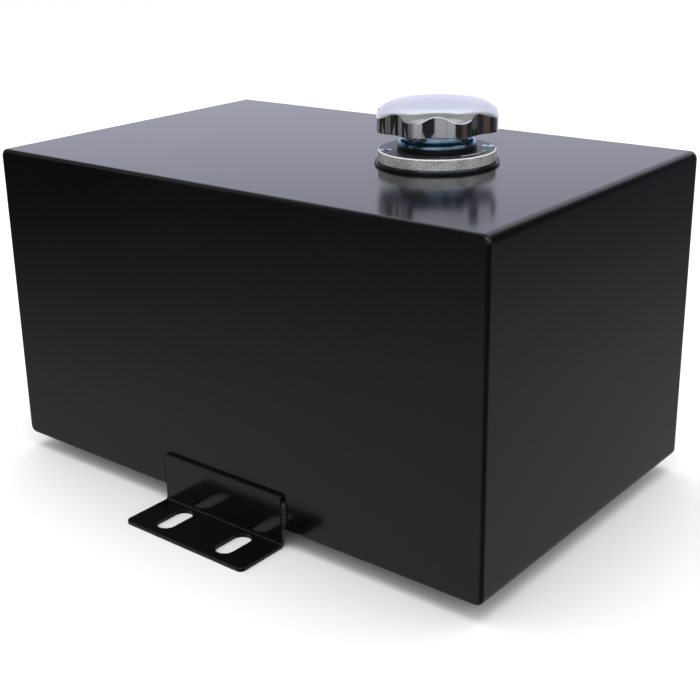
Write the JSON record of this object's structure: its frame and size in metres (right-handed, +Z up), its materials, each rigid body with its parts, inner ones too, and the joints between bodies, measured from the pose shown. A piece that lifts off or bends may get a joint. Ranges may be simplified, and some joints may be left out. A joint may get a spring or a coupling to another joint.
{
  "type": "hydraulic reservoir",
  "caption": "Rectangular welded steel oil tank with slotted foot brackets and a quarter-turn fluted filler and breather cap.",
  "frame": {"origin": "centre of the bounding box's bottom, on the surface that the brackets stand on", "axes": "+X along the tank's long side, -Y towards the front face, +Z up through the filler cap"},
  "size_m": [0.446, 0.367, 0.2984],
  "materials": {
    "black_coat": "satin black powder coat on steel sheet",
    "bare_steel": "plain mill steel inside the tank",
    "die_cast": "grainy die-cast aluminium alloy with a machined top face",
    "zinc_plate": "bright blue-white zinc plating",
    "chrome": "polished chrome",
    "black_rubber": "moulded nitrile rubber",
    "filter_foam": "open-cell filter foam",
    "spring_steel": "spring wire",
    "brass_washer": "soft sealing washer"
  },
  "bodies": {
    "tank": {"shell_wrapper": "black_coat", "front_plate": "black_coat", "rear_plate": "black_coat", "front_seam_weld": "black_coat", "rear_seam_weld": "black_coat", "wrapper_seam_weld": "black_coat", "baffle_plate": "bare_steel", "front_bracket": "black_coat", "rear_bracket": "black_coat", "front_bracket_welds": "black_coat", "rear_bracket_welds": "black_coat", "suction_bung": "black_coat", "return_bung": "black_coat", "bung_welds": "black_coat", "return_drop_tube": "bare_steel", "drain_bung": "black_coat", "drain_washer": "brass_washer", "drain_plug": "zinc_plate", "flange_gasket": "black_rubber", "strainer_collar": "zinc_plate", "strainer_mesh": "bare_steel", "strainer_floor": "zinc_plate", "strainer_gasket": "black_rubber", "filler_flange": "die_cast", "flange_screws": "zinc_plate"},
    "seal_carrier": {"cap_seal": "black_rubber", "seal_plate": "zinc_plate"},
    "cap": {"filter_housing": "zinc_plate", "air_filter_element": "filter_foam", "vent_plate": "zinc_plate", "centre_stud": "zinc_plate", "spring_washer": "zinc_plate", "lock_spring": "spring_steel", "cap_cover": "chrome"},
    "lock": {"lock_cup": "zinc_plate"}
  },
  "joints": [
    {"name": "cap_lift", "type": "slide", "parent": "tank", "child": "seal_carrier", "axis": [0, 0, 1], "range_m": [0, 0.06]},
    {"name": "cap_turn", "type": "hinge", "parent": "seal_carrier", "child": "cap", "pos_m": [0.088, 0.005, 0.2628], "axis": [0, 0, 1], "range_deg": [-90, 0]},
    {"name": "lock_drop", "type": "slide", "parent": "cap", "child": "lock", "axis": [0, 0, 1], "range_m": [-0.0015, 0], "deforming": ["lock_spring"]}
  ],
  "couplings": [
    {"joint": "lock_drop", "follows": "cap_turn", "m_per_rad": 0.00095493}
  ]
}
